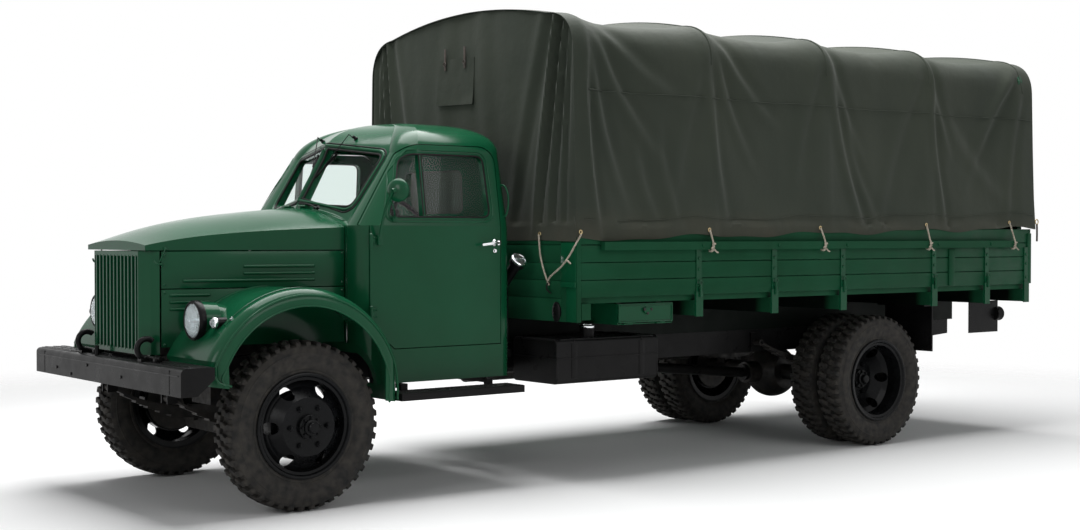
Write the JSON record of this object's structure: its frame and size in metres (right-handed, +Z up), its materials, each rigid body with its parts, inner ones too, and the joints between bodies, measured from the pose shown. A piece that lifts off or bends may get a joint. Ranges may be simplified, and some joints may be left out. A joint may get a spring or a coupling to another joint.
{
  "type": "military cargo truck",
  "caption": "Bonneted cargo truck with a hollow cab, planked cargo body, hooped canvas canopy, steered front axle and twin rear wheels, with hinged doors, bonnet and tailgate.",
  "frame": {"origin": "on the ground under the middle of the overall bounding box", "axes": "+X forward along the truck, +Y to its left, +Z up"},
  "size_m": [6.986, 2.362, 2.925],
  "materials": {
    "green_paint": "gloss",
    "green_wood": "painted, satin",
    "chassis_black": "gloss",
    "cast_steel": "painted, matt",
    "spring_steel": "dull",
    "cast_iron_grey": "matt",
    "pipe_steel": "heat-stained",
    "radiator_black": "matt",
    "lamp_glass": "clear",
    "clear_glass": "clear",
    "seat_leather": "satin",
    "wheel_black": "gloss",
    "canvas": "coarse canvas",
    "tyre_rubber": "matt"
  },
  "bodies": {
    "chassis": {"front_fender_left": "green_paint", "front_fender_right": "green_paint", "front_axle": "cast_steel", "leaf_springs": "spring_steel", "spring_hangers": "chassis_black", "rear_axle": "cast_steel", "frame_rails": "chassis_black", "cross_members": "chassis_black", "front_bumper": "chassis_black", "tow_hooks": "chassis_black", "engine_and_gearbox": "cast_iron_grey", "propeller_shaft": "chassis_black", "exhaust": "pipe_steel", "bonnet_sides": "green_paint", "grille_shell": "green_paint", "radiator": "radiator_black", "lamp_bodies": "chassis_black", "headlamp_lenses": "lamp_glass", "cab_shell": "green_paint", "cab_glass": "clear_glass", "cab_floor": "green_paint", "seat_pads": "seat_leather", "dashboard": "green_paint", "running_boards": "green_paint", "fuel_tanks": "green_paint", "tool_box": "green_paint", "bed_floor": "green_wood", "bed_bearers": "green_wood", "front_board": "green_wood", "side_boards": "green_wood", "side_rails": "green_wood", "side_irons": "green_paint", "hoops": "green_paint", "canopy": "canvas", "rear_hangings": "chassis_black"},
    "knuckle_left": {"knuckle_left": "cast_steel"},
    "knuckle_right": {"knuckle_right": "cast_steel"},
    "track_rod": {"track_rod": "cast_steel"},
    "front_wheel_left": {"front_tyre_left": "tyre_rubber", "front_wheel_left": "chassis_black"},
    "front_wheel_right": {"front_tyre_right": "tyre_rubber", "front_wheel_right": "chassis_black"},
    "rear_wheels_left": {"rear_tyres_left": "tyre_rubber", "rear_wheels_left": "chassis_black"},
    "rear_wheels_right": {"rear_tyres_right": "tyre_rubber", "rear_wheels_right": "chassis_black"},
    "door_left": {"door_left": "green_paint", "door_glass_left": "clear_glass", "door_fittings_left": "chassis_black"},
    "door_right": {"door_right": "green_paint", "door_glass_right": "clear_glass", "door_fittings_right": "chassis_black"},
    "bonnet": {"bonnet": "green_paint"},
    "tailgate": {"tailgate": "green_wood"},
    "tool_box_lid": {"tool_box_lid": "green_paint"},
    "steering_wheel": {"steering_wheel": "wheel_black"}
  },
  "joints": [
    {"name": "steer_left", "type": "hinge", "parent": "chassis", "child": "knuckle_left", "pos_m": [2.722, 0.69, 0.46], "axis": [0, 0, 1], "range_deg": [-30, 30]},
    {"name": "steer_right", "type": "hinge", "parent": "chassis", "child": "knuckle_right", "pos_m": [2.722, -0.69, 0.46], "axis": [0, 0, 1], "range_deg": [-30, 30]},
    {"name": "track_rod_turn", "type": "hinge", "parent": "knuckle_left", "child": "track_rod", "pos_m": [2.552, 0.69, 0.37], "axis": [0, 0, 1], "range_deg": [-30, 30]},
    {"name": "front_wheel_left_spin", "type": "hinge", "parent": "knuckle_left", "child": "front_wheel_left", "pos_m": [2.722, 0.795, 0.46], "axis": [0, 1, 0], "continuous": true},
    {"name": "front_wheel_right_spin", "type": "hinge", "parent": "knuckle_right", "child": "front_wheel_right", "pos_m": [2.722, -0.795, 0.46], "axis": [0, 1, 0], "continuous": true},
    {"name": "rear_wheels_left_spin", "type": "hinge", "parent": "chassis", "child": "rear_wheels_left", "pos_m": [-1.798, 0.825, 0.46], "axis": [0, 1, 0], "continuous": true},
    {"name": "rear_wheels_right_spin", "type": "hinge", "parent": "chassis", "child": "rear_wheels_right", "pos_m": [-1.798, -0.825, 0.46], "axis": [0, 1, 0], "continuous": true},
    {"name": "door_left_swing", "type": "hinge", "parent": "chassis", "child": "door_left", "pos_m": [2.245, 0.786, 1.25], "axis": [0, 0, -1], "range_deg": [0, 70]},
    {"name": "door_right_swing", "type": "hinge", "parent": "chassis", "child": "door_right", "pos_m": [2.245, -0.786, 1.25], "axis": [0, 0, 1], "range_deg": [0, 70]},
    {"name": "bonnet_lift", "type": "hinge", "parent": "chassis", "child": "bonnet", "pos_m": [2.294, 0, 1.656], "axis": [0, -1, 0], "range_deg": [0, 50]},
    {"name": "tailgate_drop", "type": "hinge", "parent": "chassis", "child": "tailgate", "pos_m": [-3.482, 0, 1.104], "axis": [0, -1, 0], "range_deg": [0, 175]},
    {"name": "tool_box_lid_drop", "type": "hinge", "parent": "chassis", "child": "tool_box_lid", "pos_m": [0.4595, 1.09, 0.944], "axis": [-1, 0, 0], "range_deg": [0, 90]},
    {"name": "steering_wheel_turn", "type": "hinge", "parent": "chassis", "child": "steering_wheel", "pos_m": [1.842, 0.35, 1.6], "axis": [-0.5637, 0, 0.826], "range_deg": [-600, 600]}
  ],
  "couplings": [
    {"joint": "steer_right", "follows": "steer_left", "ratio": 1},
    {"joint": "track_rod_turn", "follows": "steer_left", "ratio": -1},
    {"joint": "steering_wheel_turn", "follows": "steer_left", "ratio": 20}
  ]
}
